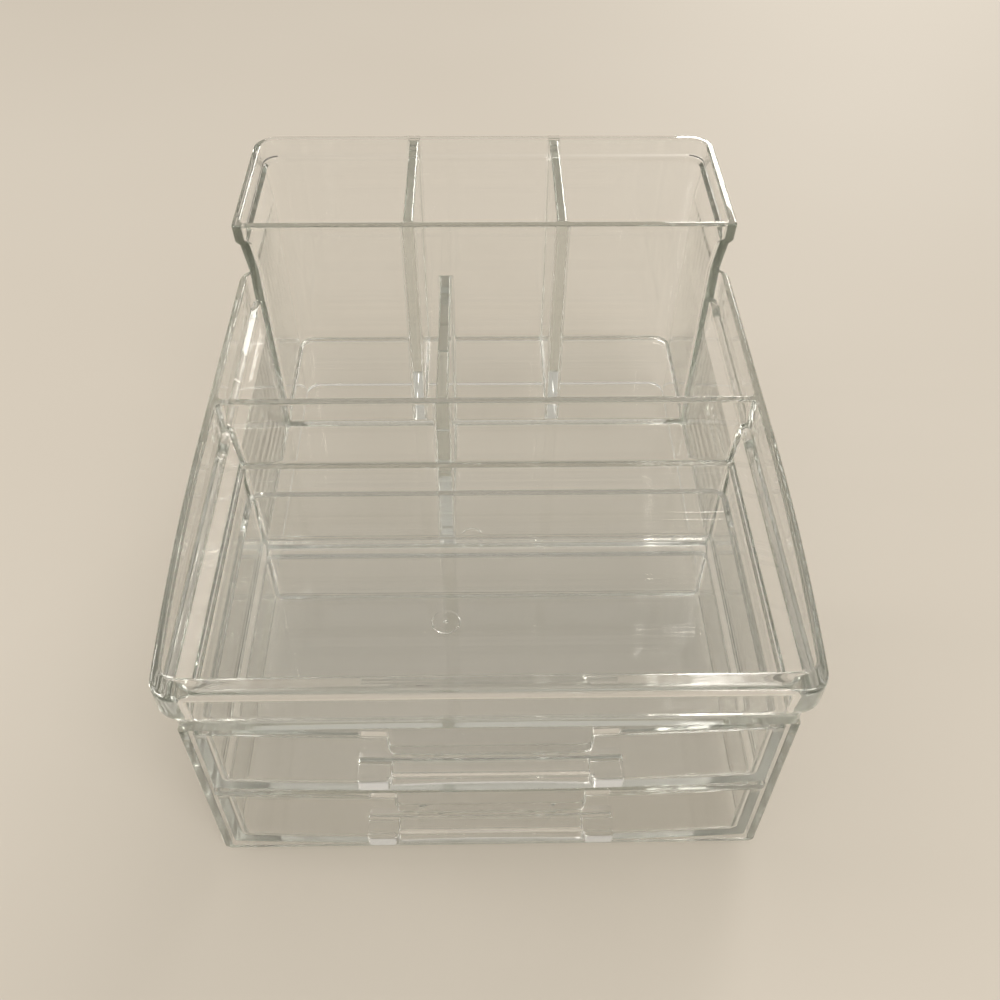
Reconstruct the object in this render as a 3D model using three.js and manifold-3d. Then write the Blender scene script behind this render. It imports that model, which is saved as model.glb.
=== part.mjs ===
// Clear acrylic makeup organizer: an open tray over two drawers, and behind them two middle bays
// and three tall rear bays. Millimetres, +Z up: +X is right, +Y goes to the back, and the drawers
// pull out along -Y. The pieces are drawn with Y from the front edge of the side walls, and the
// finished group is moved so that its origin is under its middle, on the surface it stands on.
import * as THREE from 'three';
import { mergeVertices } from 'three/addons/utils/BufferGeometryUtils.js';
import Module from 'manifold-3d';

const wasm = await Module();
wasm.setup();

// Driving sizes of the whole body.
const bodyWidth = 240; // over the side walls
const drawerZoneDepth = 139; // front edge to the wall in front of the middle bays
const middleBayDepth = 95; // clear depth of the two middle bays
const rearBayDepth = 77; // clear depth of the three rear bays
const wall = 4; // every wall of the body
const floorThickness = 4; // bay floors and the plate under the lower drawer
const deckThickness = 5; // tray floor
const glueLine = 0.3; // between pieces bonded to each other

// Heights: the bays' floor stands on the skirt and the tray's floor on the stack of drawers. Each
// rim is given above the one before.
const bayFloorTop = 42; // inside floor of the middle and rear bays
const aboveUpperFront = 4; // from the upper drawer's front to the tray's floor
const trayDepth = 24; // from the tray's floor to the top of its front wall
const sideRimRise = 14; // from there to the top of the side walls and of the middle wall
const rearBayRise = 29; // from there to the top of the rear bays

// The step near every rim, where the wall moves outwards to make a thick lip.
const collarStep = 4.5; // how far the lip of the tray and the middle bays stands out
const collarHeight = 15; // of the step inside the side walls, under their rims
const rearCollarHeight = 10; // the same, at the sides and back of the rear bays
const rearStep = 2; // how far the rear bays step out there
const collarSlope = 2; // height over which a wall steps out
const lipUnderside = 13; // height of the slanting underside of the outer lip
const dipLength = 115; // length over which the side rims come down to the front wall
const sideLean = 1; // the side walls are this much closer in at a floor and wider at a step
const rearSideLean = 2; // how far the sides of the rear bays lean out above the side walls
const rearFrontLean = 2.5; // the same, of their front wall up to its rim

// Corner radii in plan.
const backCornerRadius = 12;
const housingEdgeRadius = 1.5;
const housingFootRadius = 3; // of the lower edges of its side walls, seen from the front
const trayCornerRadius = 9;
const smallCornerRadius = 3;
const floorFillet = 2;

// Loose panels.
const rearDividerThickness = 5;
const middleDividerThickness = 5.5;
const rearDividerOffset = 38; // left and right of the middle
const middleDividerOffset = -20.3; // the middle bays are unequal
const dividerBelowRim = 1.5;
const shelfThickness = 3.4;
const shelfSetback = 0.5; // its front edge behind the side walls' front edges

// Drawers: two of the same form, one above the other.
const drawerFrontHeight = 44.7; // from its underside to the top of its front
const rimBelowFront = 10; // its sides and back end this far under the top of its front
const drawerTopGap = 0.6; // from the lower drawer's front up to the shelf
const drawerWall = 3.2;
const drawerFloor = 3;
const drawerFrontThickness = 4;
const drawerSideGap = 0.6; // on each side
const drawerRestGap = 0.3; // under the drawer
const drawerBackGap = 1.4; // behind the drawer
const drawerFrontSetback = 1; // ends of the front behind the side walls' front edges
const frontBow = 2.5; // how far the middle of the front bulges
const drawerCornerRadius = 7; // of the back corners, outside
const drawerFrontRadius = 1.5; // of the front corners, outside
const drawerInsideRadius = 5; // of the front corners, inside
const drawerFillet = 4; // between its floor and its walls, inside
const drawerFootRadius = 2.5; // round its underside, outside

// The finger notch in each drawer front, and the hooded pull under it.
const notchWidth = 79;
const notchDepth = 12.8;
const notchRadius = 3;
const pullBelowNotch = 3;
const pullWidth = 105; // its two ends, beyond the notch, are solid blocks
const pullReach = 11.4; // in front of the side walls' front edges
const pullHeight = 7.2;
const pullTopThickness = 3.2;
const pullLipThickness = 2.5;
const pullRadius = 2.5;
const pullRecess = 1.6; // the lip is set back this far between its two ends
const pullArchHeight = 1.5; // and cut away this much under its middle

const overrun = 1; // cuts run this far past what they open
const clearance = 1; // from the back of a drawer's front to where the notch's cut ends
const arcSteps = 6; // sides of a quarter circle
const bowSteps = 12;

// Places worked out from the sizes above.
const halfWidth = bodyWidth / 2;
const innerHalfWidth = halfWidth - wall;
const middleWallFront = drawerZoneDepth;
const middleBayFront = middleWallFront + wall;
const rearWallFront = middleBayFront + middleBayDepth;
const rearBayFront = rearWallFront + wall;
const rearBayBack = rearBayFront + rearBayDepth;
const bodyBack = rearBayBack + wall;
const bayFloorBottom = bayFloorTop - floorThickness;
const lowerDrawerBottom = floorThickness + drawerRestGap;
const shelfBottom = lowerDrawerBottom + drawerFrontHeight + drawerTopGap;
const shelfTop = shelfBottom + shelfThickness;
const upperDrawerBottom = shelfTop + drawerRestGap;
const deckBottom = upperDrawerBottom + drawerFrontHeight + aboveUpperFront;
const deckTop = deckBottom + deckThickness;
const frontWallTop = deckTop + trayDepth;
const sideWallTop = frontWallTop + sideRimRise;
const rearWallTop = sideWallTop + rearBayRise;
const sideStepFoot = sideWallTop - collarHeight - collarSlope;
const rearStepFoot = rearWallTop - rearCollarHeight - collarSlope;
const lipHalfWidth = halfWidth + collarStep;
const lipFront = -collarStep;
const bodyRimBack = bodyBack + rearStep;
const behindFront = drawerFrontSetback + drawerFrontThickness + clearance;

// A level outline: a rectangle with its own radius at each corner, and an edge that may bow out
// at the front. Every outline has the same number of points, so that two can be joined by a skin.
function outline({ z, left, right, front, back, frontRadius = 0, backRadius = 0, bow = 0 }) {
  const points = [];
  const corner = (x, y, radius, from) => {
    for (let i = 0; i <= arcSteps; i += 1) {
      const angle = from + (i / arcSteps) * (Math.PI / 2);
      points.push(new THREE.Vector3(x + radius * Math.cos(angle), y + radius * Math.sin(angle), z));
    }
  };
  const middle = (left + right) / 2;
  const reach = (right - left) / 2 - frontRadius;
  corner(left + frontRadius, front + frontRadius, frontRadius, Math.PI);
  for (let i = 1; bow && i < bowSteps; i += 1) {
    const share = (2 * i) / bowSteps - 1;
    points.push(new THREE.Vector3(middle + reach * share, front - bow * (1 - share * share), z));
  }
  corner(right - frontRadius, front + frontRadius, frontRadius, -Math.PI / 2);
  corner(right - backRadius, back - backRadius, backRadius, 0);
  corner(left + backRadius, back - backRadius, backRadius, Math.PI / 2);
  return points;
}

// Turns a closed three.js geometry into a solid that can be cut and joined.
function solid(geometry) {
  const bare = new THREE.BufferGeometry();
  bare.setAttribute('position', geometry.getAttribute('position').clone());
  if (geometry.index) bare.setIndex(geometry.index.clone());
  const merged = mergeVertices(bare);
  const corners = [];
  for (let i = 0; i < merged.index.count; i += 3) {
    const [a, b, c] = merged.index.array.slice(i, i + 3);
    if (a !== b && b !== c && c !== a) corners.push(a, b, c);
  }
  return new wasm.Manifold(new wasm.Mesh({
    numProp: 3,
    vertProperties: new Float32Array(merged.getAttribute('position').array),
    triVerts: new Uint32Array(corners),
  }));
}

// A closed skin over a stack of outlines, from the lowest to the highest.
function loft(levels) {
  const rings = levels.map(outline);
  const count = rings[0].length;
  const positions = rings.flat().flatMap((point) => [point.x, point.y, point.z]);
  const index = [];
  for (let level = 0; level + 1 < rings.length; level += 1) {
    for (let i = 0; i < count; i += 1) {
      const next = (i + 1) % count;
      const a = level * count + i;
      const b = level * count + next;
      index.push(a, b, b + count, a, b + count, a + count);
    }
  }
  const cap = (level, up) => {
    const flat = rings[level].map((point) => new THREE.Vector2(point.x, point.y));
    for (const [a, b, c] of THREE.ShapeUtils.triangulateShape(flat, [])) {
      const base = level * count;
      index.push(...(up ? [base + a, base + b, base + c] : [base + a, base + c, base + b]));
    }
  };
  cap(0, false);
  cap(rings.length - 1, true);
  const geometry = new THREE.BufferGeometry();
  geometry.setAttribute('position', new THREE.Float32BufferAttribute(positions, 3));
  geometry.setIndex(index);
  return solid(geometry);
}

// A straight box between two corners.
function box([x0, y0, z0], [x1, y1, z1]) {
  const geometry = new THREE.BoxGeometry(x1 - x0, y1 - y0, z1 - z0);
  geometry.translate((x0 + x1) / 2, (y0 + y1) / 2, (z0 + z1) / 2);
  return solid(geometry);
}

// A side view, drawn as (y, z), pushed out along X from one place to another.
function sideProfile(points, from, to) {
  const shape = new THREE.Shape(points.map(([y, z]) => new THREE.Vector2(y, z)));
  const geometry = new THREE.ExtrudeGeometry(shape, { depth: to - from, bevelEnabled: false });
  geometry.applyMatrix4(new THREE.Matrix4().set(0, 0, 1, from, 1, 0, 0, 0, 0, 1, 0, 0, 0, 0, 0, 1));
  return solid(geometry);
}

// A front view, drawn as a shape of (x, z), pushed out along Y from one place to another.
function frontProfile(shape, from, to) {
  const geometry = new THREE.ExtrudeGeometry(shape, {
    depth: to - from, bevelEnabled: false, curveSegments: arcSteps,
  });
  geometry.applyMatrix4(new THREE.Matrix4().set(1, 0, 0, 0, 0, 0, -1, to, 0, 1, 0, 0, 0, 0, 0, 1));
  return solid(geometry);
}

// The outer lip: it slants out from the wall, then stands straight.
function lip(levels, foot, top) {
  const [wallOutline, lipOutline] = levels;
  return loft([
    { ...wallOutline, z: foot },
    { ...lipOutline, z: foot + lipUnderside },
    { ...lipOutline, z: top },
  ]);
}

// A solid rounded where its sides meet its underside: the room inside a bay or a drawer, or the
// outside of a drawer. The levels above are given as outlines.
function room(floor, fillet, foot, levels) {
  const steps = arcSteps / 2;
  const rounded = Array.from({ length: steps + 1 }, (_, i) => {
    const angle = (i / steps) * (Math.PI / 2);
    const inset = fillet * (1 - Math.sin(angle));
    return {
      ...foot, z: floor + fillet * (1 - Math.cos(angle)),
      left: foot.left + inset, right: foot.right - inset,
      front: foot.front + inset, back: foot.back - inset,
    };
  });
  return loft([...rounded, ...levels]);
}

// How far the front wall of the rear bays has come forward of its foot at some height.
function rearFrontReach(z) {
  return Math.max(0, (rearFrontLean * (z - sideWallTop)) / (rearWallTop - sideWallTop));
}

// The outline of a room that has the same half width on both sides.
function across(half, front, back, frontRadius, backRadius) {
  return { left: -half, right: half, front, back, frontRadius, backRadius };
}

// The room of the tray, over the drawers.
function trayRoom() {
  const radii = [trayCornerRadius - wall, smallCornerRadius];
  const level = (half) => across(half, wall, middleWallFront, ...radii);
  return room(deckTop, floorFillet, level(innerHalfWidth - sideLean), [
    { ...level(innerHalfWidth + sideLean), z: sideStepFoot },
    { ...level(innerHalfWidth + collarStep), z: sideStepFoot + collarSlope },
    { ...level(innerHalfWidth + collarStep), z: sideWallTop + overrun },
  ]);
}

// The room of the middle bays.
function middleRoom() {
  const level = (half) => across(
    half, middleBayFront, rearWallFront, smallCornerRadius, smallCornerRadius,
  );
  return room(bayFloorTop, floorFillet, level(innerHalfWidth - sideLean), [
    { ...level(innerHalfWidth + sideLean), z: sideStepFoot },
    { ...level(innerHalfWidth + collarStep), z: sideStepFoot + collarSlope },
    { ...level(innerHalfWidth + collarStep), z: sideWallTop + overrun },
  ]);
}

// The room of the rear bays.
function rearRoom() {
  const backRadius = backCornerRadius - wall;
  const level = (half, back, z) => ({
    ...across(half, rearBayFront - rearFrontReach(z), back, smallCornerRadius, backRadius), z,
  });
  const atStep = innerHalfWidth + rearSideLean;
  const above = [atStep + rearStep, rearBayBack + rearStep];
  const foot = across(innerHalfWidth - sideLean, rearBayFront, rearBayBack, smallCornerRadius, backRadius);
  return room(bayFloorTop, floorFillet, foot, [
    level(innerHalfWidth, rearBayBack, sideWallTop),
    level(atStep, rearBayBack, rearStepFoot),
    level(...above, rearStepFoot + collarSlope),
    level(...above, rearWallTop + overrun),
  ]);
}

// The side rims seen from the side: level from the rear bays forward, then an arc down to the
// top of the front wall.
function rimProfile() {
  const drop = sideWallTop - frontWallTop;
  const points = [[lipFront - overrun, deckBottom], [lipFront - overrun, frontWallTop]];
  for (let i = 0; i <= bowSteps; i += 1) {
    const share = i / bowSteps;
    points.push([lipFront + dipLength * share, frontWallTop + drop * (1 - (1 - share) ** 2)]);
  }
  points.push([rearBayFront + overrun, sideWallTop]);
  points.push([rearBayFront + overrun, deckBottom]);
  return sideProfile(points, -lipHalfWidth - overrun, lipHalfWidth + overrun);
}

// The upper moulding: the tray, the middle and rear bays, and the skirt that carries them.
function trayAndBays() {
  const trayWall = across(halfWidth, 0, rearBayFront, trayCornerRadius - collarStep, smallCornerRadius);
  const trayLip = across(
    lipHalfWidth, lipFront, rearWallFront, trayCornerRadius, smallCornerRadius + collarStep,
  );
  const tray = loft([{ ...trayWall, z: deckBottom }, { ...trayWall, z: sideWallTop }])
    .add(lip([trayWall, trayLip], deckTop, sideWallTop))
    .intersect(rimProfile());
  const skirtOutline = across(halfWidth, middleWallFront, bodyBack, 0, backCornerRadius);
  const skirt = loft([{ ...skirtOutline, z: 0 }, { ...skirtOutline, z: bayFloorTop }]);
  const rearLevel = (half, back, z) => ({
    ...across(half, rearWallFront - rearFrontReach(z), back, smallCornerRadius, backCornerRadius), z,
  });
  const atStep = halfWidth + rearSideLean;
  const rear = loft([
    rearLevel(halfWidth, bodyBack, bayFloorTop - overrun),
    rearLevel(halfWidth, bodyBack, sideWallTop),
    rearLevel(atStep, bodyBack, rearStepFoot),
    rearLevel(atStep + rearStep, bodyRimBack, rearStepFoot + collarSlope),
    rearLevel(atStep + rearStep, bodyRimBack, rearWallTop),
  ]);
  const middle = loft([bayFloorTop - overrun, sideWallTop].map((z) => ({
    ...across(halfWidth, middleWallFront, rearBayFront, 0, 0), z,
  })));
  const hollow = across(
    innerHalfWidth, middleBayFront, rearBayBack, smallCornerRadius, backCornerRadius - wall,
  );
  const underside = loft([{ ...hollow, z: -overrun }, { ...hollow, z: bayFloorBottom }]);
  return tray.add(skirt).add(middle).add(rear)
    .subtract(trayRoom()).subtract(middleRoom()).subtract(rearRoom()).subtract(underside);
}

// The lower moulding: a plate and two side walls under the tray, open to the front.
function drawerHousing() {
  const outside = across(halfWidth, 0, middleWallFront - glueLine, housingEdgeRadius, 0);
  const top = deckBottom - glueLine;
  const frontView = new THREE.Shape();
  frontView.moveTo(-halfWidth, top + overrun);
  frontView.lineTo(-halfWidth, housingFootRadius);
  frontView.quadraticCurveTo(-halfWidth, 0, housingFootRadius - halfWidth, 0);
  frontView.lineTo(halfWidth - housingFootRadius, 0);
  frontView.quadraticCurveTo(halfWidth, 0, halfWidth, housingFootRadius);
  frontView.lineTo(halfWidth, top + overrun);
  return loft([{ ...outside, z: 0 }, { ...outside, z: top }])
    .intersect(frontProfile(frontView, -overrun, drawerZoneDepth))
    .subtract(box(
      [-innerHalfWidth, -overrun, floorThickness],
      [innerHalfWidth, middleWallFront, top + overrun],
    ));
}

// The plate between the two drawers.
function drawerShelf() {
  const reach = innerHalfWidth - glueLine;
  return box([-reach, shelfSetback, shelfBottom], [reach, middleWallFront - glueLine, shelfTop]);
}

// A divider panel, given by its side view. Its lower corners clear the rounded floor.
function divider(sideView, middle, thickness) {
  return sideProfile(sideView, middle - thickness / 2, middle + thickness / 2);
}

function rearDivider(middle) {
  const foot = bayFloorTop + glueLine;
  const top = rearWallTop - dividerBelowRim;
  const front = (z) => rearBayFront - rearFrontReach(z) + glueLine;
  const back = rearBayBack - glueLine;
  return divider([
    [front(foot) + floorFillet, foot], [back - floorFillet, foot], [back, foot + floorFillet],
    [back, rearStepFoot], [back + rearStep, rearStepFoot + collarSlope + glueLine],
    [back + rearStep, top], [front(top), top], [front(sideWallTop), sideWallTop],
    [front(foot), foot + floorFillet],
  ], middle, rearDividerThickness);
}

function middleDivider() {
  const foot = bayFloorTop + glueLine;
  const top = sideWallTop - dividerBelowRim;
  const front = middleBayFront + glueLine;
  const back = rearWallFront - glueLine;
  return divider([
    [front + floorFillet, foot], [back - floorFillet, foot], [back, foot + floorFillet],
    [back, top], [front, top], [front, foot + floorFillet],
  ], middleDividerOffset, middleDividerThickness);
}

// The hooded pull: a ledge with a lip that turns down in front and a block at each end, open below.
function drawerPull(top) {
  const hoodHalf = notchWidth / 2;
  const bottom = top - pullHeight;
  const outside = across(pullWidth / 2, -pullReach, drawerFrontSetback, pullRadius, 0);
  const hood = loft([{ ...outside, z: bottom }, { ...outside, z: top }]);
  const lipBack = -pullReach + pullRecess + pullLipThickness;
  const hollow = box(
    [-hoodHalf, lipBack, bottom - overrun],
    [hoodHalf, drawerFrontSetback + overrun, top - pullTopThickness],
  );
  const recess = loft([bottom - overrun, top + overrun].map((z) => ({
    z, left: -hoodHalf, right: hoodHalf, front: -pullReach - pullRadius * 2,
    back: -pullReach + pullRecess, backRadius: pullRecess,
  })));
  const arch = new THREE.Shape();
  arch.moveTo(-hoodHalf, bottom - overrun);
  arch.lineTo(hoodHalf, bottom - overrun);
  arch.lineTo(hoodHalf, bottom);
  arch.quadraticCurveTo(0, bottom + pullArchHeight * 2, -hoodHalf, bottom);
  const archCut = frontProfile(arch, -pullReach - overrun, lipBack + overrun);
  return hood.subtract(hollow).subtract(recess).subtract(archCut);
}

// The cut in the top edge of a drawer front, with rounded lower corners.
function notchCut(bottom, top) {
  const half = notchWidth / 2;
  const shape = new THREE.Shape();
  shape.moveTo(-half, top + overrun);
  shape.lineTo(-half, bottom + notchRadius);
  shape.quadraticCurveTo(-half, bottom, -half + notchRadius, bottom);
  shape.lineTo(half - notchRadius, bottom);
  shape.quadraticCurveTo(half, bottom, half, bottom + notchRadius);
  shape.lineTo(half, top + overrun);
  return frontProfile(shape, -pullReach, behindFront);
}

// A drawer: a tub whose front stands above its sides and back.
function drawer(bottom) {
  const half = innerHalfWidth - drawerSideGap;
  const outside = {
    left: -half, right: half, front: drawerFrontSetback, back: middleWallFront - drawerBackGap,
    frontRadius: drawerFrontRadius, backRadius: drawerCornerRadius, bow: frontBow,
  };
  const inside = {
    left: outside.left + drawerWall, right: outside.right - drawerWall,
    front: outside.front + drawerFrontThickness, back: outside.back - drawerWall,
    frontRadius: drawerInsideRadius, backRadius: drawerCornerRadius - drawerWall, bow: frontBow,
  };
  const frontTop = bottom + drawerFrontHeight;
  const tub = room(bottom, drawerFootRadius, outside, [{ ...outside, z: frontTop }]);
  const hold = room(bottom + drawerFloor, drawerFillet, inside, [{ ...inside, z: frontTop + overrun }]);
  const aboveRim = box(
    [-halfWidth, inside.front, frontTop - rimBelowFront],
    [halfWidth, outside.back + overrun, frontTop + overrun],
  );
  const notchBottom = frontTop - notchDepth;
  return tub.subtract(hold).subtract(aboveRim)
    .subtract(notchCut(notchBottom, frontTop))
    .add(drawerPull(notchBottom - pullBelowNotch));
}

// Clear plastic, a little greener and greyer where it is thick.
const clearBody = { color: 0xdde5e3, roughness: 0.06, opacity: 0.34 };
const clearPanel = { color: 0xd5dedd, roughness: 0.05, opacity: 0.4 };
const clearDrawer = { color: 0xe2e8e5, roughness: 0.07, opacity: 0.34 };

const organizer = new THREE.Group();
organizer.position.y = (pullReach - bodyRimBack) / 2;

// Turns a finished solid into a named piece.
function piece(name, part, look) {
  const { vertProperties, triVerts, numProp } = part.getMesh();
  const geometry = new THREE.BufferGeometry();
  const positions = new Float32Array((vertProperties.length / numProp) * 3);
  for (let i = 0; i < positions.length / 3; i += 1) {
    positions.set(vertProperties.subarray(i * numProp, i * numProp + 3), i * 3);
  }
  geometry.setAttribute('position', new THREE.BufferAttribute(positions, 3));
  geometry.setIndex(new THREE.BufferAttribute(new Uint32Array(triVerts), 1));
  geometry.computeVertexNormals();
  const material = new THREE.MeshStandardMaterial({ metalness: 0, transparent: true, ...look });
  const mesh = new THREE.Mesh(geometry, material);
  mesh.name = name;
  organizer.add(mesh);
}

piece('tray_and_bays', trayAndBays(), clearBody);
piece('drawer_housing', drawerHousing(), clearBody);
piece('drawer_shelf', drawerShelf(), clearPanel);
piece('upper_drawer', drawer(upperDrawerBottom), clearDrawer);
piece('lower_drawer', drawer(lowerDrawerBottom), clearDrawer);
piece('middle_divider', middleDivider(), clearPanel);
piece('rear_divider_left', rearDivider(-rearDividerOffset), clearPanel);
piece('rear_divider_right', rearDivider(rearDividerOffset), clearPanel);

export default organizer;
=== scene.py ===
# %% [markdown]
# This lesson dresses a makeup organizer that is moulded in clear plastic: a shallow tray over two
# drawers, two open bays behind the tray, and three tall bays at the back. Clear plastic shows every
# edge of every wall, so most of the work is in walls with true thickness, draft and rounded rims.
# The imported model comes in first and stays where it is. New pieces are drawn around it.

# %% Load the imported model
import math
import bmesh
import bpy
import numpy as np
from mathutils import Matrix, Vector


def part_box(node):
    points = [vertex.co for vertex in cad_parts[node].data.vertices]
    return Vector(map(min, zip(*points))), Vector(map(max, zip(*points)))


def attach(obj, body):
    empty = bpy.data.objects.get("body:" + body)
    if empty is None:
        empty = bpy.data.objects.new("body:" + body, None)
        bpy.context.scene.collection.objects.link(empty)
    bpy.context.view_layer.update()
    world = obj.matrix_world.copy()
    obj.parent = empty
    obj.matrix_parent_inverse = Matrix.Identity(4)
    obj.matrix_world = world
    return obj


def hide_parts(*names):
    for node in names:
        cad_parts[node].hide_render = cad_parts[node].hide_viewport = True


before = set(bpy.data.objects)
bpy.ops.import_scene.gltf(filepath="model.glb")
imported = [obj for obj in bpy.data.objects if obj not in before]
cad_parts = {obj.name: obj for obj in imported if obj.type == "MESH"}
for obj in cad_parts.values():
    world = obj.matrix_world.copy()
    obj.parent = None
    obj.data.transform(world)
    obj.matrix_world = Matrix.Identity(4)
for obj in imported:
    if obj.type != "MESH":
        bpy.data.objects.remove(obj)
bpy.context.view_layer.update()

# %% [markdown]
# A maker's drawing of this object counts millimetres from the front edge of its side walls. The
# same is done here, and one function moves such points into the model's frame, in metres.

# %% Units and places
MM = 0.001
FRONT_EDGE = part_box("drawer_housing")[0][1]


def place(points):
    """Millimetres from the front edge of the side walls, turned to metres in the model's frame."""
    return np.asarray(points, float) * MM + np.array([0.0, FRONT_EDGE, 0.0])


print("front edge of the side walls at y =", round(float(FRONT_EDGE), 4), "m")

# %% [markdown]
# The camera comes early, because every later choice is judged through it. It stands half a metre
# away and looks steeply down, as someone does who holds it by hand over a dressing table. Its
# angles and its place were worked out from the object's straight edges.

# %% Camera
SENSOR_MM = 36.0
FOCAL_SHARE = 1.0456  # focal length as a share of the sensor's width
PITCH_DOWN, YAW, ROLL = (math.radians(angle) for angle in (46.89, -1.43, 0.59))
CAMERA_PLACE = (-2.6, -210.4, 454.8)  # millimetres, from the same front edge


def camera_axes(pitch, yaw, roll):
    """Right, up and backward directions. Pitch turns about X, yaw about Z, roll about the view."""
    level = Matrix.Rotation(yaw, 3, "Z") @ Matrix.Rotation(math.pi / 2 - pitch, 3, "X")
    return level @ Matrix.Rotation(roll, 3, "Z")


camera_data = bpy.data.cameras.new("camera")
camera_data.sensor_width = SENSOR_MM
camera_data.lens = SENSOR_MM * FOCAL_SHARE
camera = bpy.data.objects.new("camera", camera_data)
turned = camera_axes(PITCH_DOWN, YAW, ROLL).to_4x4()
camera.matrix_world = Matrix.Translation(Vector(place(CAMERA_PLACE))) @ turned
bpy.context.scene.collection.objects.link(camera)
bpy.context.scene.camera = camera
print("lens", round(camera_data.lens, 2), "mm")

# %% [markdown]
# Every material is made of nodes. One function adds a node, gives it its settings and joins it to
# others, and one function turns the hex colours that people read off a screen into linear light.

# %% Helpers for materials


def linear(hex_colour):
    """An sRGB hex colour as linear red, green, blue and a full alpha, by the sRGB curve."""
    srgb = np.array([int(hex_colour[i : i + 2], 16) for i in (1, 3, 5)]) / 255
    light = np.where(srgb <= 0.04045, srgb / 12.92, ((srgb + 0.055) / 1.055) ** 2.4)
    return (*light.tolist(), 1.0)


def add(tree, kind, inputs=None, **settings):
    """A new node of this kind. An input is a value or the socket of another node."""
    node = tree.nodes.new(kind)
    for name, value in settings.items():
        setattr(node, name, value)
    for name, value in (inputs or {}).items():
        if isinstance(value, bpy.types.NodeSocket):
            tree.links.new(value, node.inputs[name])
        else:
            node.inputs[name].default_value = value
    return node


def new_material(name):
    """An empty material with nodes, and its node tree."""
    material = bpy.data.materials.new(name)
    material.use_nodes = True
    material.node_tree.nodes.clear()
    return material, material.node_tree


print("mid grey on the screen is", round(linear("#808080")[0], 3), "in linear light")

# %% [markdown]
# The floor is a plain pale table top and the light is soft: a broad sky that is brighter above
# than at the sides, and three soft lamps, the strongest of them low behind. The darker sides
# matter, because a clear wall seen along its own length shows what stands beside it, and that is
# how its edges get their grey. The lamps give the same edges their white lines.

# %% Floor
FLOOR_DROP = 0.0003  # the floor lies this far under the object, so that their faces never meet
FLOOR_HALF = 4.0
FLOOR_TINTS = "#d9d3c9", "#d4cdc2"
CLOUDS_PER_METRE = 3.0
floor_mesh = bpy.data.meshes.new("table_top")
corners = [(-1, -1), (1, -1), (1, 1), (-1, 1)]
floor_mesh.from_pydata(
    [(x * FLOOR_HALF, y * FLOOR_HALF, -FLOOR_DROP) for x, y in corners], [], [(0, 1, 2, 3)]
)
floor = bpy.data.objects.new("table_top", floor_mesh)
bpy.context.scene.collection.objects.link(floor)

# Matt paint shows no mirror image of the lamps, only a faint sheen, and its tint drifts a little.
paint, tree = new_material("matt_painted_table")
where = add(tree, "ShaderNodeTexCoord")
cloud = add(
    tree, "ShaderNodeTexNoise", {"Vector": where.outputs["Object"], "Scale": CLOUDS_PER_METRE}
)
pale, deep = (linear(tint) for tint in FLOOR_TINTS)
colours = {"Factor": cloud.outputs["Fac"], 6: pale, 7: deep}
tint = add(tree, "ShaderNodeMix", colours, data_type="RGBA")
surface = add(
    tree, "ShaderNodeBsdfPrincipled",
    {"Base Color": tint.outputs[2], "Roughness": 0.6, "Specular IOR Level": 0.12},
)
add(tree, "ShaderNodeOutputMaterial", {"Surface": surface.outputs["BSDF"]})
floor_mesh.materials.append(paint)
print("the table top is", 2 * FLOOR_HALF, "m wide")

# %% Sky and lamps
SKY_TOP, SKY_SIDE = "#f8f2e9", "#85817a"
LAMP_WARMTH = (1.0, 0.96, 0.9)
LAMP_AIM = (0.0, 0.0, 0.08)  # metres, in the middle of the object
world = bpy.data.worlds.new("studio")
world.use_nodes = True
sky = world.node_tree
sky.nodes.clear()
direction = add(sky, "ShaderNodeTexCoord")
parts = add(sky, "ShaderNodeSeparateXYZ", {"Vector": direction.outputs["Generated"]})
height = add(
    sky, "ShaderNodeMapRange", {"Value": parts.outputs["Z"], "From Min": 0.1, "From Max": 0.75},
    interpolation_type="SMOOTHSTEP",
)
colours = {"Factor": height.outputs["Result"], 6: linear(SKY_SIDE), 7: linear(SKY_TOP)}
shade = add(sky, "ShaderNodeMix", colours, data_type="RGBA")
glow = add(sky, "ShaderNodeBackground", {"Color": shade.outputs[2], "Strength": 0.72})
add(sky, "ShaderNodeOutputWorld", {"Surface": glow.outputs["Background"]})
bpy.context.scene.world = world


def lamp(name, at, size, power):
    """A square soft lamp that faces the middle of the object."""
    data = bpy.data.lights.new(name, "AREA")
    data.shape = "SQUARE"
    data.size = size
    data.energy = power
    data.color = LAMP_WARMTH
    item = bpy.data.objects.new(name, data)
    aim = Vector(LAMP_AIM) - Vector(at)
    turn = aim.to_track_quat("-Z", "Y").to_matrix().to_4x4()
    item.matrix_world = Matrix.Translation(Vector(at)) @ turn
    bpy.context.scene.collection.objects.link(item)


lamp("window", at=(1.8, 4.4, 2.0), size=1.6, power=115.0)
lamp("ceiling", at=(0.7, -0.9, 1.4), size=0.5, power=8.0)
lamp("side", at=(-1.3, 0.1, 0.8), size=0.35, power=4.0)
print("lamps:", sorted(item.name for item in bpy.data.lights))

# %% [markdown]
# A ray that crosses this object meets dozens of clear faces, and runs along inside the walls as
# light does in a glass fibre. One that is given up on the way turns black, so the limits are high.

# %% How far a ray goes
scene = bpy.context.scene
scene.view_settings.view_transform = "Standard"
scene.cycles.max_bounces = 72
scene.cycles.transmission_bounces = 64
scene.cycles.glossy_bounces = 64
scene.cycles.transparent_max_bounces = 96
print("a ray may bounce", scene.cycles.max_bounces, "times")

# %% [markdown]
# Now the shapes. A wall of this object is the space between two skins, and each skin is a stack of
# level outlines. An outline is a rectangle with rounded corners whose front edge may bow out. It is
# made for the right half and mirrored, so that points on the left and the right share one y. The
# ends of a skin are closed with strips from left to right, so a rim may rise and fall with y.

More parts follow.
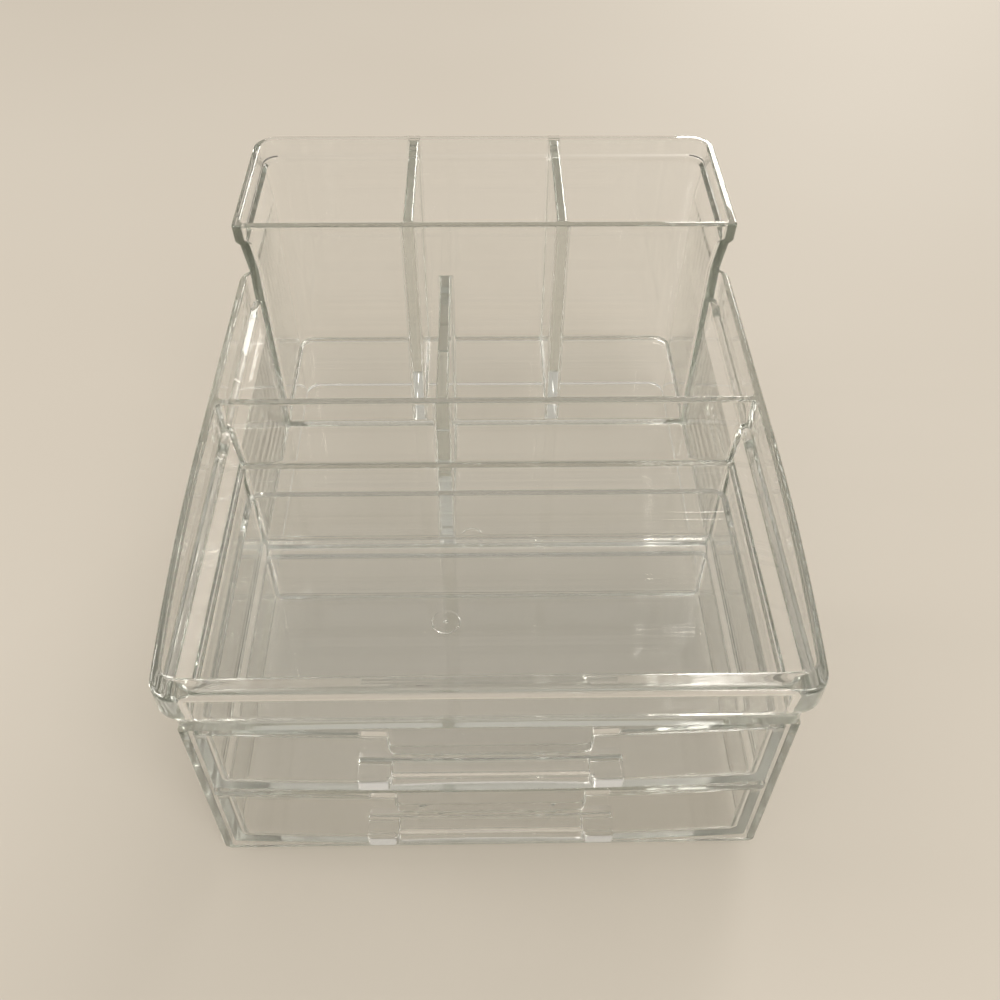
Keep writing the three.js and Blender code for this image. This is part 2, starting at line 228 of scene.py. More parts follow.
# %% Outlines
ARC_POINTS = 9  # points on a corner
ROW_POINTS = 10  # points on half of the front or back row
STATIONS = 30  # points on a side
LEAST_RADIUS = 0.05  # a corner keeps this much, so that no two of its points fall together


def outline(half, front, back, front_radius, back_radius, bow=0.0, gather=1.0):
    """A rounded rectangle as rows of x, y. A corner is a quarter circle. The front row is moved
    forward by the bow times one minus the square of x over its reach. The side points lie at
    even shares of the side's length, raised to the power gather, which crowds them in front."""
    front_radius, back_radius = max(front_radius, LEAST_RADIUS), max(back_radius, LEAST_RADIUS)
    share = np.linspace(0, 1, ROW_POINTS, endpoint=False)
    turn = np.linspace(0, math.pi / 2, ARC_POINTS)
    reach = half - front_radius
    front_row = np.stack([reach * share, front - bow * (1 - share**2)], 1)
    front_arc = np.stack(
        [reach + front_radius * np.sin(turn), front + front_radius * (1 - np.cos(turn))], 1
    )
    low, high = front + front_radius, back - back_radius
    along = low + (high - low) * np.linspace(0, 1, STATIONS + 2)[1:-1] ** gather
    side = np.stack([np.full(STATIONS, half), along], 1)
    back_arc = np.stack(
        [half - back_radius * (1 - np.cos(turn)), high + back_radius * np.sin(turn)], 1
    )
    back_row = np.stack([(half - back_radius) * (1 - share[1:]), np.full(ROW_POINTS - 1, back)], 1)
    right = np.concatenate([front_row, front_arc, side, back_arc, back_row, [[0.0, back]]])
    left = right[-2:0:-1] * np.array([-1.0, 1.0])
    return np.concatenate([right, left])


def ring(flat, z):
    """An outline lifted to the height z, a number or a function of y."""
    heights = z(flat[:, 1]) if callable(z) else np.full(len(flat), float(z))
    return np.column_stack([flat, heights])


def cap(count):
    """Faces over one ring, as seen from above: one at the front, strips, and one at the back."""
    half = count // 2
    first, last = ROW_POINTS, half - ROW_POINTS
    front = [*range(count - first, count), *range(first + 2), count - first - 1]
    back = [*range(last - 1, count - last + 2)]
    strips = [(i, i + 1, count - i - 1, count - i) for i in range(first + 1, last - 1)]
    return [front, *strips, back]


def skin(rings):
    """A closed skin over a stack of rings, from the lowest to the highest: four-cornered faces
    between neighbours, and a cap at each end. Gives its points and its faces."""
    rings = np.asarray(rings, float)
    levels, count, _ = rings.shape
    here = (np.arange(levels - 1)[:, None] * count + np.arange(count)).ravel()
    ahead = (np.arange(levels - 1)[:, None] * count + np.roll(np.arange(count), -1)).ravel()
    walls = np.stack([here, ahead, ahead + count, here + count], 1).tolist()
    top = [[i + (levels - 1) * count for i in face] for face in cap(count)]
    bottom = [list(face)[::-1] for face in cap(count)]
    return rings.reshape(-1, 3), walls + top + bottom


# %% [markdown]
# A moulded edge is never sharp, and a clear one shows its rounding as a bright line. So a solid has
# a rounded foot and a rounded top, and a room that is cut out of it has a rounded floor and widens
# at its rim. All four are quarter circles, taken in a few steps.

# %% Solids and rooms
PAST = 3.0  # a room runs this far past the rim that it opens


def quarter(radius, steps=4):
    """Steps of a quarter circle, as pairs: how far it has gone one way, the radius times one minus
    the cosine, and how far it has left the other way, the radius times one minus the sine. A foot
    has gone up and has left outwards. A rim has gone sideways and has left upwards."""
    turn = np.linspace(0, math.pi / 2, steps + 1)
    return list(zip(radius * (1 - np.cos(turn)), radius * (1 - np.sin(turn))))


def moved(z, amount):
    """The height z, a number or a function of y, moved by an amount."""
    return (lambda y: z(y) + amount) if callable(z) else z + amount


def foot_rings(plan, foot, radius):
    """Rings from a level end outwards and upwards to the wall, as on a rounded foot or floor."""
    return [ring(plan(-left, foot + gone), foot + gone) for gone, left in quarter(radius)]


def rim_rings(plan, top, highest, radius, way):
    """Rings from the wall up to a rim: inwards on a solid (way -1), outwards on a room (way 1)."""
    return [ring(plan(way * gone, highest), moved(top, -left)) for gone, left in quarter(radius)]


def block(plan, foot, between, top, foot_radius, top_radius, highest=None):
    """A solid. plan(grow, z) gives its outline at the height z, grown by some millimetres."""
    rings = foot_rings(plan, foot, foot_radius) + [ring(plan(0.0, z), z) for z in between]
    return skin(rings + rim_rings(plan, top, highest or top, top_radius, -1))


def room(plan, floor_height, between, top, floor_radius, top_radius, highest=None):
    """The space that is cut out of a solid, from its rounded floor to just past its rim."""
    rings = foot_rings(plan, floor_height, floor_radius) + [ring(plan(0.0, z), z) for z in between]
    rings += rim_rings(plan, top, highest or top, top_radius, 1)
    rings.append(ring(plan(top_radius, highest or top), moved(top, PAST)))
    return skin(rings)


def temporary(shape):
    """An unlinked mesh object from points in millimetres and faces."""
    points, faces = shape
    mesh = bpy.data.meshes.new("shape")
    mesh.from_pydata(place(points).tolist(), [], faces)
    item = bpy.data.objects.new("shape", mesh)
    bpy.context.scene.collection.objects.link(item)
    return item


def carve(name, base, steps):
    """A new object: the base solid with others joined to it or cut from it, one after another.
    Each step is "UNION" or "DIFFERENCE" and a shape."""
    item = temporary(base)
    helpers = []
    for operation, shape in steps:
        helper = temporary(shape)
        helpers.append(helper)
        cut = item.modifiers.new(operation, "BOOLEAN")
        cut.operation, cut.object, cut.solver = operation, helper, "MANIFOLD"
    bpy.context.view_layer.update()
    done = item.evaluated_get(bpy.context.evaluated_depsgraph_get())
    mesh = bpy.data.meshes.new_from_object(done)
    mesh.name = name
    result = bpy.data.objects.new(name, mesh)
    for helper in (item, *helpers):
        bpy.data.objects.remove(helper)
    bpy.context.scene.collection.objects.link(result)
    print(name, "has", len(mesh.polygons), "faces")
    return result


CLOSEST_MM = 0.04  # points that lie closer than this become one
FLAT, SHARP = math.radians(0.2), math.radians(50)  # faces that become one, and edges that are cut
EDGE_ROUND = 0.3


def without_slivers(mesh):
    """Merges points that lie closer together than a hair, and flat neighbours into one face. The
    cuts leave such slivers, and a bevel would not open beside them."""
    work = bmesh.new()
    work.from_mesh(mesh)
    bmesh.ops.remove_doubles(work, verts=work.verts, dist=CLOSEST_MM * MM)
    bmesh.ops.dissolve_degenerate(work, edges=work.edges, dist=CLOSEST_MM * MM / 4)
    bmesh.ops.dissolve_limit(work, verts=work.verts, edges=work.edges, angle_limit=FLAT)
    work.to_mesh(mesh)
    work.free()


def finish(item, material, body, node, bevel=EDGE_ROUND):
    """Rounds the edges that the cuts left sharp, smooths the shading, and rides on a body."""
    mesh = item.data
    mesh.materials.clear()
    mesh.materials.append(material)
    mesh.shade_smooth()
    if bevel:
        without_slivers(mesh)
        soften = item.modifiers.new("soft_edges", "BEVEL")
        soften.width = bevel * MM
        soften.segments = 2
        soften.limit_method = "ANGLE"
        soften.angle_limit = SHARP
        soften.use_clamp_overlap = False
    mesh.set_sharp_from_angle(angle=SHARP)
    even = item.modifiers.new("even_shading", "WEIGHTED_NORMAL")
    even.keep_sharp = True
    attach(item, body)
    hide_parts(node)


# %% [markdown]
# The plastic is clear, so its look comes from its refraction, a faint grey-green in the depth of
# long walls, and the small faults of cheap moulding: slow waves in its faces and fine scratches.
# Three finishes follow: the moulded body, the moulded drawers, and the flat dividing panels.

# %% Clear plastics
ACRYLIC_IOR = 1.49
DRIFT_MM = 60  # how far apart the tint's paler and deeper patches lie
SCRATCH_STRETCH, SCRATCH_TURN = (1.0, 9.0, 1.0), (0.3, 0.2, 0.7)


def clear_plastic(name, pale, deep, wave_mm, wave_height_mm, scratch_mm, gloss, haze):
    """Polished clear plastic. The colour drifts between two tints, the roughness rises from gloss
    to haze along fine scratches, and a slow wave some millimetres long bends the faces. Light that
    falls on what is behind it goes straight through, and loses most where it grazes a face."""
    material, tree = new_material(name)
    where = add(tree, "ShaderNodeTexCoord").outputs["Object"]
    drift = add(
        tree, "ShaderNodeTexNoise", {"Vector": where, "Scale": 1 / (DRIFT_MM * MM), "Detail": 2.0}
    )
    colours = {"Factor": drift.outputs["Fac"], 6: linear(pale), 7: linear(deep)}
    colour = add(tree, "ShaderNodeMix", colours, data_type="RGBA")
    stretched = {"Vector": where, "Scale": SCRATCH_STRETCH, "Rotation": SCRATCH_TURN}
    across = add(tree, "ShaderNodeMapping", stretched)
    scratches = add(
        tree, "ShaderNodeTexNoise",
        {"Vector": across.outputs["Vector"], "Scale": 1 / (scratch_mm * MM), "Detail": 4.0,
         "Roughness": 0.7},
    )
    rough = add(
        tree, "ShaderNodeMapRange",
        {"Value": scratches.outputs["Fac"], "From Min": 0.5, "From Max": 0.78, "To Min": gloss,
         "To Max": haze},
    )
    wave = add(
        tree, "ShaderNodeTexNoise", {"Vector": where, "Scale": 1 / (wave_mm * MM), "Detail": 1.0}
    )
    bend = add(
        tree, "ShaderNodeBump",
        {"Height": wave.outputs["Fac"], "Distance": wave_height_mm * MM, "Strength": 1.0},
    )
    shader = add(
        tree, "ShaderNodeBsdfPrincipled",
        {"Base Color": colour.outputs[2], "Roughness": rough.outputs["Result"],
         "IOR": ACRYLIC_IOR, "Transmission Weight": 1.0, "Normal": bend.outputs["Normal"]},
    )
    slant = add(tree, "ShaderNodeLayerWeight", {"Blend": 0.35})
    losses = {"Factor": slant.outputs["Facing"], 6: linear("#fefefe"), 7: linear("#e4e4e2")}
    passed = add(tree, "ShaderNodeMix", losses, data_type="RGBA")
    straight = add(tree, "ShaderNodeBsdfTransparent", {"Color": passed.outputs[2]})
    path = add(tree, "ShaderNodeLightPath")
    rays = {0: path.outputs["Is Shadow Ray"], 1: path.outputs["Is Diffuse Ray"]}
    lighting = add(tree, "ShaderNodeMath", rays, operation="MAXIMUM")
    either = add(
        tree, "ShaderNodeMixShader",
        {0: lighting.outputs["Value"], 1: shader.outputs["BSDF"], 2: straight.outputs["BSDF"]},
    )
    depth = add(tree, "ShaderNodeVolumeAbsorption", {"Color": linear("#dfe2dd"), "Density": 8.0})
    add(
        tree, "ShaderNodeOutputMaterial",
        {"Surface": either.outputs["Shader"], "Volume": depth.outputs["Volume"]},
    )
    return material


# Polished in the mould: glassy faces that waver a little every few centimetres.
body_plastic = clear_plastic(
    "clear_acrylic_injection_moulded", pale="#ffffff", deep="#fcfcfb",
    wave_mm=26, wave_height_mm=0.02, scratch_mm=5, gloss=0.01, haze=0.05,
)
# The drawers slide and are handled, so they are scratched a little more and look softer.
drawer_plastic = clear_plastic(
    "clear_acrylic_drawer_moulding", pale="#fefefe", deep="#fbfbfa",
    wave_mm=20, wave_height_mm=0.025, scratch_mm=4, gloss=0.015, haze=0.07,
)
# Flat sheet: the waves are long, and the panels look the most like glass.
panel_plastic = clear_plastic(
    "clear_acrylic_flat_panel", pale="#fefefe", deep="#fafbfb",
    wave_mm=40, wave_height_mm=0.02, scratch_mm=6, gloss=0.01, haze=0.04,
)
print("plastics:", body_plastic.name, drawer_plastic.name, panel_plastic.name)

# %% [markdown]
# The upper moulding is the tray, the bays and the skirt under them. On the real one a core and a
# cavity leave walls that lean a little, a step under each rim, and a lip that hangs over the
# cabinet. It is made the same way: three solids joined, and four rooms cut out of them.

# %% Sizes of the upper moulding
HALF, INNER_HALF = 120.0, 116.0
DECK_BOTTOM, DECK_TOP, FRONT_TOP, SIDE_TOP, REAR_TOP = 102.0, 107.0, 131.0, 145.0, 174.0
BAY_FLOOR, BAY_FLOOR_BOTTOM = 42.0, 38.0
MIDDLE_WALL, MIDDLE_BAY, REAR_WALL, REAR_BAY = 139.0, 143.0, 238.0, 242.0
REAR_BAY_BACK, BACK = 319.0, 323.0
LIP, LIP_RISE, DIP = 4.5, 13.0, 115.0
SIDE_STEP, REAR_STEP = (127.4, 129.6), (161.6, 164.0)
SIDE_STEP_OUT, REAR_STEP_OUT = 3.5, 2.0
SIDE_LEAN, FRONT_LEAN, DRAFT = 2.0, 2.5, 1.0
SIDE_LEAN_PACE, FRONT_LEAN_POWER = 1.7, 1.5  # the sides lean early, and the front wall late
RIM_ROUND, LIP_ROUND, FINE_ROUND = 1.2, 2.0, 0.3
# Corner radii, in front and at the back.
TRAY_CORNERS, SKIRT_BACK_CORNER, REAR_CORNERS, REAR_ROOM_CORNERS = (4.5, 3.0), 12, (3, 12), (3, 8)


def ease(z, low, high):
    """A smooth step from 0 at low to 1 at high: three squares less two cubes of the share."""
    share = np.clip((np.asarray(z, float) - low) / (high - low), 0, 1)
    return share * share * (3 - 2 * share)


def side_rim(y):
    """Height of the side rims: level at the back, then down to the front wall as a parabola."""
    share = np.clip((np.asarray(y, float) + LIP) / DIP, 0, 1)
    return FRONT_TOP + (SIDE_TOP - FRONT_TOP) * (1 - (1 - share) ** 2)


def tray_plan(grow, z):
    """Outside of the tray and the middle bays: the wall, and above the deck the lip."""
    out = LIP * float(ease(z, DECK_TOP, DECK_TOP + LIP_RISE)) + grow
    front_radius, back_radius = (radius + out for radius in TRAY_CORNERS)
    return outline(HALF + out, -out, REAR_BAY - 2 * out / LIP, front_radius, back_radius)


def skirt_plan(grow, z):
    """Outside of the skirt under the bays."""
    radius = SKIRT_BACK_CORNER + grow
    return outline(HALF + grow, MIDDLE_WALL - grow, BACK + grow, FINE_ROUND, radius)


def rear_lean(z):
    """How far the sides, the front wall and the back of the rear bays have come out at a height."""
    up = float(np.clip((z - SIDE_TOP) / (REAR_TOP - SIDE_TOP), 0, 1))
    step = REAR_STEP_OUT * float(ease(z, *REAR_STEP))
    return SIDE_LEAN * min(1.0, up * SIDE_LEAN_PACE) + step, FRONT_LEAN * up**FRONT_LEAN_POWER, step


def rear_plan(grow, z):
    """Outside of the rear bays."""
    side, front, back = rear_lean(z)
    radii = (radius + grow for radius in REAR_CORNERS)
    return outline(HALF + side + grow, REAR_WALL - front - grow, BACK + back + grow, *radii)


def rear_room_plan(grow, z):
    """Inside of the rear bays: closer by the draft at the floor than under the side rims."""
    side, front, back = rear_lean(z)
    down = 1.0 - float(np.clip((z - BAY_FLOOR) / (SIDE_TOP - BAY_FLOOR), 0, 1))
    half = INNER_HALF + side - DRAFT * down + grow
    radii = (radius + grow for radius in REAR_ROOM_CORNERS)
    return outline(half, REAR_BAY - front - grow, REAR_BAY_BACK + back + grow, *radii)


def stepped_room_plan(front, back, front_radius, floor_height):
    """Inside of the tray or the middle bays: draft up to the step, then the wider rim."""
    back_radius = 3

    def plan(grow, z):
        up = float(np.clip((z - floor_height) / (SIDE_STEP[0] - floor_height), 0, 1))
        half = INNER_HALF + DRAFT * (up * 2 - 1) + SIDE_STEP_OUT * float(ease(z, *SIDE_STEP)) + grow
        return outline(half, front - grow, back + grow, front_radius + grow, back_radius + grow)

    return plan


def hollow_plan(grow, z):
    """The open space under the bays."""
    front_radius, back_radius = REAR_ROOM_CORNERS
    return outline(
        INNER_HALF + grow, MIDDLE_BAY - grow, REAR_BAY_BACK + grow, front_radius, back_radius + grow
    )


def turned_ring(x, y, radius, width, low, high, steps=40):
    """A ring of square section about an upright axis: its four corners carried round a circle."""
    turn = np.linspace(0, 2 * math.pi, steps, endpoint=False)
    section = [(radius - width, low), (radius, low), (radius, high), (radius - width, high)]
    points = np.concatenate(
        [np.column_stack([x + r * np.cos(turn), y + r * np.sin(turn), np.full(steps, z)])
         for r, z in section]
    )
    around = np.arange(steps)
    faces = []
    ahead = np.roll(around, -1)
    for i in range(4):
        here, there = i * steps, (i + 1) % 4 * steps
        faces += np.stack([here + around, here + ahead, there + ahead, there + around], 1).tolist()
    return points, faces


def steps_over(span, count=5):
    """Even heights over a span."""
    return np.linspace(*span, count).tolist()


# %% The solids and rooms of the upper moulding
FRONT_WALL = 4.0
SKIRT_TOP, REAR_FOOT = 106.0, 90.0  # both end inside another solid, so that the three are one
LIP_LEVELS = [DECK_TOP, *steps_over((DECK_TOP + 1.5, DECK_TOP + LIP_RISE), 8)]
REAR_LEVELS = [SIDE_TOP, 150, 156, *steps_over(REAR_STEP), 168]
tray_solid = block(
    tray_plan, DECK_BOTTOM, LIP_LEVELS, side_rim, foot_radius=0.4, top_radius=LIP_ROUND,
    highest=SIDE_TOP,
)
skirt_solid = block(
    skirt_plan, 0.0, [BAY_FLOOR], SKIRT_TOP, foot_radius=0.6, top_radius=FINE_ROUND
)
rear_solid = block(
    rear_plan, REAR_FOOT, REAR_LEVELS, REAR_TOP, foot_radius=FINE_ROUND, top_radius=RIM_ROUND
)
tray_room = room(
    stepped_room_plan(FRONT_WALL, MIDDLE_WALL, 5.0, DECK_TOP), DECK_TOP, steps_over(SIDE_STEP),
    side_rim, floor_radius=2.5, top_radius=RIM_ROUND, highest=SIDE_TOP,
)
middle_room = room(
    stepped_room_plan(MIDDLE_BAY, REAR_WALL, 3.0, BAY_FLOOR), BAY_FLOOR, steps_over(SIDE_STEP),
    SIDE_TOP, floor_radius=2.0, top_radius=RIM_ROUND,
)
rear_room = room(
    rear_room_plan, BAY_FLOOR, REAR_LEVELS, REAR_TOP, floor_radius=2.0, top_radius=RIM_ROUND
)
hollow = block(
    hollow_plan, -PAST, [0.0], BAY_FLOOR_BOTTOM, foot_radius=FINE_ROUND, top_radius=2.0
)
print("side rims are", side_rim(0.0).round(1), "mm high in front and", SIDE_TOP, "at the back")

# %% [markdown]
# A mould leaves marks. A pin that pushes the warm piece out presses a ring into a bay's floor, and
# the plastic that came in through the middle of the deck leaves a round stub under it. The back
# rim is squarer where a tall divider ends against it.

# %% Marks and seats, and the upper moulding
DIVIDER_X = (-38.0, 38.0)
SEAT_HALF, SEAT_FRONT, SEAT_FOOT = 2.9, REAR_BAY_BACK + 1.9, REAR_STEP[1] + 2
ejector_mark = turned_ring(
    x=-8.0, y=152.0, radius=5.2, width=0.5, low=BAY_FLOOR - 0.25, high=BAY_FLOOR + 0.5
)
gate_mark = turned_ring(
    x=-18.0, y=49.0, radius=5.75, width=5.0, low=DECK_BOTTOM - 0.3, high=DECK_BOTTOM + 0.5
)


def rim_seat(x):
    """The squarer piece of the back rim at a tall divider. It ends flush with the rim behind."""
    seat_back = BACK + REAR_STEP_OUT

    def plan(grow, z):
        return outline(
            SEAT_HALF + grow, SEAT_FRONT - grow, seat_back + grow, FINE_ROUND, FINE_ROUND
        )

    points, faces = block(plan, SEAT_FOOT, [], REAR_TOP, FINE_ROUND, FINE_ROUND)
    return points + np.array([x, 0.0, 0.0]), faces


upper_moulding = carve(
    "upper_moulding", tray_solid,
    [("UNION", skirt_solid), ("DIFFERENCE", tray_room), ("DIFFERENCE", middle_room),
     ("UNION", rear_solid), ("DIFFERENCE", rear_room), ("DIFFERENCE", hollow),
     ("DIFFERENCE", ejector_mark), ("UNION", gate_mark),
     *[("UNION", rim_seat(x)) for x in DIVIDER_X]],
)
finish(upper_moulding, body_plastic, "body", "tray_and_bays")

# %% [markdown]
# The lower moulding is a plate and two side walls: one block with one room cut through it from
# front to back. The two long edges that it stands on are rounder than the others.

# %% The drawer housing
HOUSING_BACK, HOUSING_TOP, PLATE = 138.7, 101.7, 4.0
FOOT_ROUND, END_ROUND = 3.0, 0.6
ROOM_ENDS = (-12.0, 152.0)  # past the front and the back, so that the room is open at both
WALL_LEVEL = 50.0


def housing_plan(grow, z):
    """Outside of the cabinet: its sides take the whole rounding, its front and back a little."""
    ends = max(grow, -END_ROUND)
    return outline(HALF + grow, -ends, HOUSING_BACK + ends, 1.5 + ends, FINE_ROUND)


def housing_room_plan(grow, z):
    """Between the side walls."""
    front, back = ROOM_ENDS
    return outline(INNER_HALF + grow, front - grow, back + grow, FINE_ROUND, FINE_ROUND)


housing_solid = block(
    housing_plan, 0.0, [WALL_LEVEL], HOUSING_TOP, foot_radius=FOOT_ROUND, top_radius=0.4
)
housing_room = room(
    housing_room_plan, PLATE, [WALL_LEVEL], HOUSING_TOP, floor_radius=1.2, top_radius=0.4
)
housing = carve("drawer_cabinet", housing_solid, [("DIFFERENCE", housing_room)])
finish(housing, body_plastic, "body", "drawer_housing")

# %% [markdown]
# The shelf between the drawers is a cut panel with polished edges. Its front edge shows between
# the two drawer fronts as one bright bar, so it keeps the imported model's place exactly.

# %% The shelf between the drawers
SHELF_CORNER, SHELF_EDGE = 1.0, 0.5
shelf_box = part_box("drawer_shelf")
shelf_low, shelf_high = ((np.array(corner) - (0, FRONT_EDGE, 0)) / MM for corner in shelf_box)


def shelf_plan(grow, z):
    """Outside of the shelf."""
    front, back = shelf_low[1] - grow, shelf_high[1] + grow
    return outline(shelf_high[0] + grow, front, back, SHELF_CORNER, SHELF_CORNER)


shelf_solid = block(shelf_plan, shelf_low[2], [], shelf_high[2], SHELF_EDGE, SHELF_EDGE)
shelf = carve("shelf_panel", shelf_solid, [])
finish(shelf, panel_plastic, "body", "drawer_shelf", bevel=0)

# %% [markdown]
# The dividers are flat panels that grow a little thicker where they meet the walls and the floor,
# because a mould has no sharp inside corners. Their outline at each height is a long thin
# rectangle with hollow corners, and their top edge is rounded.

# %% Dividers
FLARE = 1.6
FOOT_FLARE = 0.6  # how far the foot widens, for each millimetre of its own rounding
GAP = 0.12
LAND = 0.02  # the flat of an end beside its quarter circles
PANEL_TOP_ROUND = 1.0
REAR_THICK, MIDDLE_THICK, MIDDLE_X = 5.0, 5.5, -20.3
REAR_DIVIDER_TOP, MIDDLE_DIVIDER_TOP = REAR_TOP - 0.5, 143.5


def panel_outline(half, front, back, flare):
    """A thin rectangle that widens at both ends by quarter circles. Same point counts as above."""
    flare = max(flare, LEAST_RADIUS)
    share = np.linspace(0, 1, ROW_POINTS, endpoint=False)
    turn = np.linspace(0, math.pi / 2, ARC_POINTS)
    front_row = np.stack([(half + flare) * share, np.full(ROW_POINTS, front)], 1)
    front_arc = np.stack(
        [half + flare * (1 - np.sin(turn)), front + LAND + flare * (1 - np.cos(turn))], 1
    )
    low, high = front + LAND + flare, back - LAND - flare
    side = np.stack([np.full(STATIONS, half), np.linspace(low, high, STATIONS + 2)[1:-1]], 1)
    back_arc = np.stack(
        [half + flare * (1 - np.cos(turn)), back - LAND - flare * (1 - np.sin(turn))], 1
    )
    back_row = np.stack([(half + flare) * (1 - share[1:]), np.full(ROW_POINTS - 1, back)], 1)
    right = np.concatenate([front_row, front_arc, side, back_arc, back_row, [[0.0, back]]])
    left = right[-2:0:-1] * np.array([-1.0, 1.0])
    return np.concatenate([right, left])


def divider(name, node, middle, thickness, top, between, ends, foot_radius=2.0):
    """A divider. ends(z) gives where its front and back edges are at the height z."""
    foot = BAY_FLOOR + GAP

    def at(z, out=0.0, inset=0.0):
        front, back = ends(z)
        flat = panel_outline(thickness / 2 + out, front + GAP + inset, back - GAP - inset, FLARE)
        return ring(flat + np.array([middle, 0.0]), z)

    rings = [at(foot + gone, left * FOOT_FLARE, left) for gone, left in quarter(foot_radius)]
    rings += [at(z) for z in between]
    rings += [at(top - left, -gone) for gone, left in quarter(PANEL_TOP_ROUND)]
    item = carve(name, skin(rings), [])
    finish(item, panel_plastic, "body", node, bevel=0)


def rear_ends(z):
    """The front wall leans forward above the side walls, and the back steps out under the rim."""
    _, front, back = rear_lean(z)
    return REAR_BAY - front, REAR_BAY_BACK + back


def middle_ends(z):
    """The walls of the middle bays stand upright."""
    return MIDDLE_BAY, REAR_WALL


REAR_HEIGHTS = [60, 100, SIDE_TOP, 156, *steps_over(REAR_STEP), 168]
for side, x in zip(("left", "right"), DIVIDER_X):
    name, node = f"rear_{side}_divider", f"rear_divider_{side}"
    divider(name, node, x, REAR_THICK, REAR_DIVIDER_TOP, REAR_HEIGHTS, rear_ends)
divider(
    "middle_bay_divider", "middle_divider", MIDDLE_X, MIDDLE_THICK, MIDDLE_DIVIDER_TOP,
    [60, 100, 130], middle_ends,
)

# %% [markdown]
# Both drawers come out of one mould. Each is a tub whose front stands higher than its sides, and
# the sides sweep down behind it. A notch for the fingers is cut from the front's top edge, and
# below the notch stands a hooded pull: a ledge with a turned-down lip, open from below, between
# two solid blocks that stand a little further forward.

# %% Sizes of a drawer
DRAWER_HALF, DRAWER_FRONT, DRAWER_BACK, DRAWER_WALL, DRAWER_FLOOR = 115.4, 1.0, 137.6, 3.2, 3.0
FRONT_HEIGHT, RIM_BELOW_FRONT, FRONT_THICK, BOW, FOOT_ROUND_DRAWER = 44.7, 10.0, 4.0, 2.5, 2.5
TUB_LEVEL = 15  # a level between the rounded foot and the rim
TUB_CORNERS, TUB_ROOM_CORNERS, TUB_ROOM_FLOOR, TUB_RIM = (1.5, 7), (5, 3.8), 4.0, 0.9
SWEEP = (5.2, 10.5)  # the sides sweep down from the front's height between these places
GATHER = 1.8  # crowds the points of a side towards the front, where the sweep is
NOTCH_HALF, NOTCH_DEPTH, NOTCH_CORNER, PULL_BELOW_NOTCH = 39.5, 12.8, 3.0, 3.0
PULL_HALF, PULL_REACH, PULL_HEIGHT, PULL_RECESS = 52.5, 11.4, 7.2, 1.6
LEDGE, LIP_THICK, ARCH = 3.2, 2.5, 1.5
EMBED = 1.2  # a pull reaches this far behind the front edge, into the drawer's front
UNDER_BACK = 12.0  # the room under a ledge runs through to here, past the drawer's front
print("a drawer's front is", FRONT_HEIGHT, "mm high and its notch", 2 * NOTCH_HALF, "mm wide")

# %% Parts of a drawer


def upright(shape_plan, levels):
    """A skin whose outlines stand in the XZ plane and are stacked towards the front. An outline's
    second number becomes its height, and the level its distance in front of y = 0."""
    points, faces = skin([ring(shape_plan(grow), level) for level, grow in levels])
    return np.column_stack([points[:, 0], -points[:, 2], points[:, 1]]), faces


def arch_plan(top):
    """Outline of the cut under the lip, in front view: its upper edge is a parabola."""
    flat = outline(NOTCH_HALF, top - 8, top, FINE_ROUND, FINE_ROUND)
    lift = ARCH * (1 - (flat[:, 0] / NOTCH_HALF) ** 2)
    flat[:, 1] += np.where(flat[:, 1] > top - 1, lift, 0.0)
    return flat


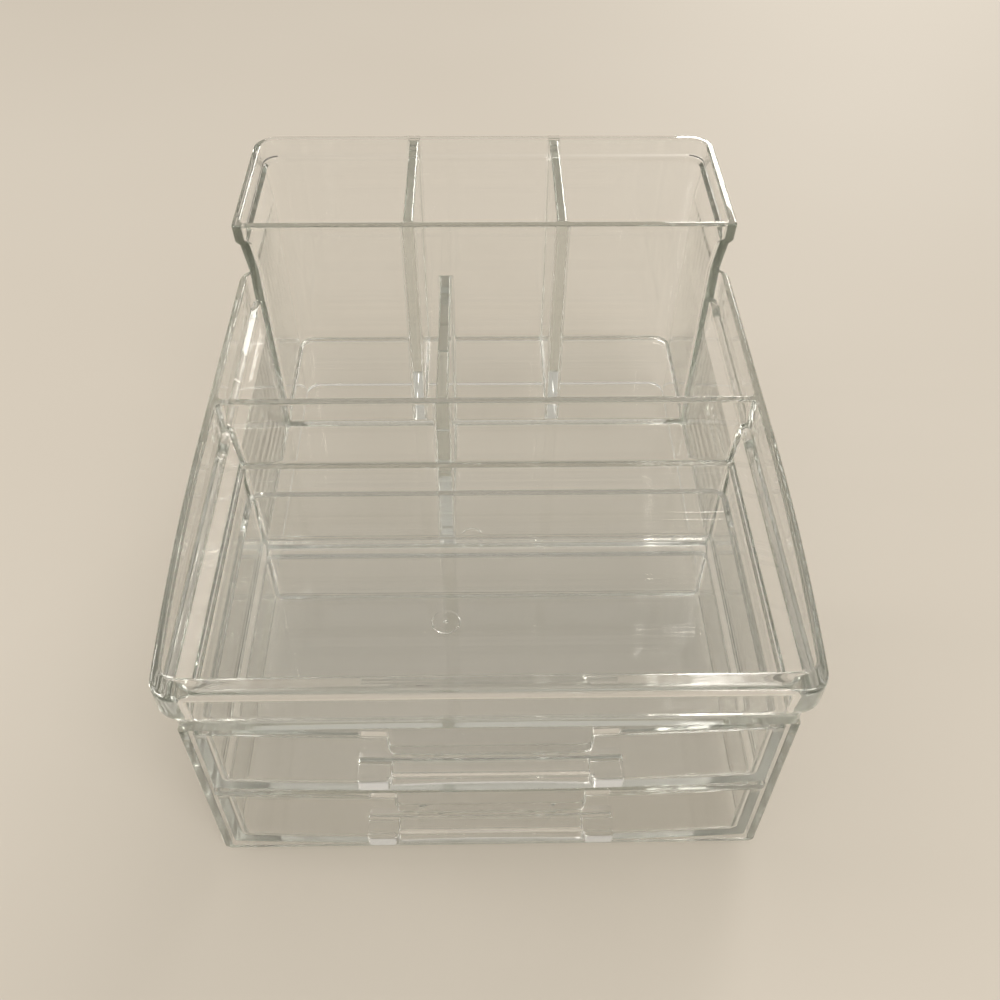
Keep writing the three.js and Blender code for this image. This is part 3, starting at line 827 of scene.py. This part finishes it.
def pull(top):
    """The shapes that make a pull, in their order: a bar with an arch under its lip, hollowed from
    below, and a block at each end."""
    base = top - PULL_HEIGHT
    lip_front = PULL_RECESS - PULL_REACH
    lip_back = lip_front + LIP_THICK
    half, middle = (PULL_HALF - NOTCH_HALF) / 2, (PULL_HALF + NOTCH_HALF) / 2

    def bar_plan(grow, z):
        return outline(NOTCH_HALF + 2.0 + grow, lip_front - grow, EMBED, FINE_ROUND, FINE_ROUND)

    def under_plan(grow, z):
        return outline(NOTCH_HALF + grow, lip_back - grow, UNDER_BACK + grow, 1.0, FINE_ROUND)

    def end_plan(grow, z):
        return outline(half + grow, -PULL_REACH - grow, EMBED, 1.8 + grow, FINE_ROUND)

    bar = block(bar_plan, base, [], top, foot_radius=0.5, top_radius=0.9)
    under = block(
        under_plan, base - PAST, [], top - LEDGE, foot_radius=FINE_ROUND, top_radius=1.0
    )
    arch = upright(lambda grow: arch_plan(base), [(-lip_back - 1.0, 0), (20.0, 0)])
    points, faces = block(end_plan, base, [], top, foot_radius=0.5, top_radius=1.6)
    ends = [(points + np.array([x, 0.0, 0.0]), faces) for x in (-middle, middle)]
    item = carve("bar", bar, [("DIFFERENCE", under), ("DIFFERENCE", arch)])
    bar_points = (np.array([vertex.co for vertex in item.data.vertices]) - (0, FRONT_EDGE, 0)) / MM
    bar_faces = [list(face.vertices) for face in item.data.polygons]
    bpy.data.objects.remove(item)
    return [(bar_points, bar_faces), *ends]


def drawer(name, body, bottom):
    """One drawer on its body, from the height of its underside."""
    front_top = bottom + FRONT_HEIGHT
    rim = front_top - RIM_BELOW_FRONT
    notch_bottom = front_top - NOTCH_DEPTH

    def tub_plan(grow, z):
        half, front, back = DRAWER_HALF + grow, DRAWER_FRONT - grow, DRAWER_BACK + grow
        return outline(half, front, back, *(radius + grow for radius in TUB_CORNERS), BOW, GATHER)

    def inside_plan(grow, z):
        half, front = DRAWER_HALF - DRAWER_WALL + grow, DRAWER_FRONT + FRONT_THICK - grow
        radii = (radius + grow for radius in TUB_ROOM_CORNERS)
        return outline(half, front, DRAWER_BACK - DRAWER_WALL + grow, *radii, BOW, GATHER)

    def top(y):
        return rim + (front_top - rim) * (1 - ease(y, *SWEEP))

    def notch_plan(grow):
        radius = NOTCH_CORNER + grow
        return outline(NOTCH_HALF + grow, notch_bottom - grow, front_top + 20, radius, FINE_ROUND)

    levels = [bottom + TUB_LEVEL]
    tub = block(tub_plan, bottom, levels, top, FOOT_ROUND_DRAWER, TUB_RIM, highest=front_top)
    floor_height = bottom + DRAWER_FLOOR
    inside = room(
        inside_plan, floor_height, levels, top, TUB_ROOM_FLOOR, TUB_RIM, highest=front_top
    )
    # The notch widens where it leaves the front's two faces, which rounds its edges.
    behind = [(-9.0, 0.8), (-2.7, 0.8), (-2.3, 0.25), (-1.9, 0.0)]
    ahead = [(0.6, 0.0), (1.0, 0.25), (1.4, 0.8), (12.0, 0.8)]
    notch = upright(notch_plan, [*behind, *ahead])
    steps = [("DIFFERENCE", inside), ("DIFFERENCE", notch)]
    steps += [("UNION", shape) for shape in pull(notch_bottom - PULL_BELOW_NOTCH)]
    finish(carve(name, tub, steps), drawer_plastic, body, body)


# %% The two drawers
for level in ("lower_drawer", "upper_drawer"):
    drawer(level + "_tub", level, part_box(level)[0][2] / MM)
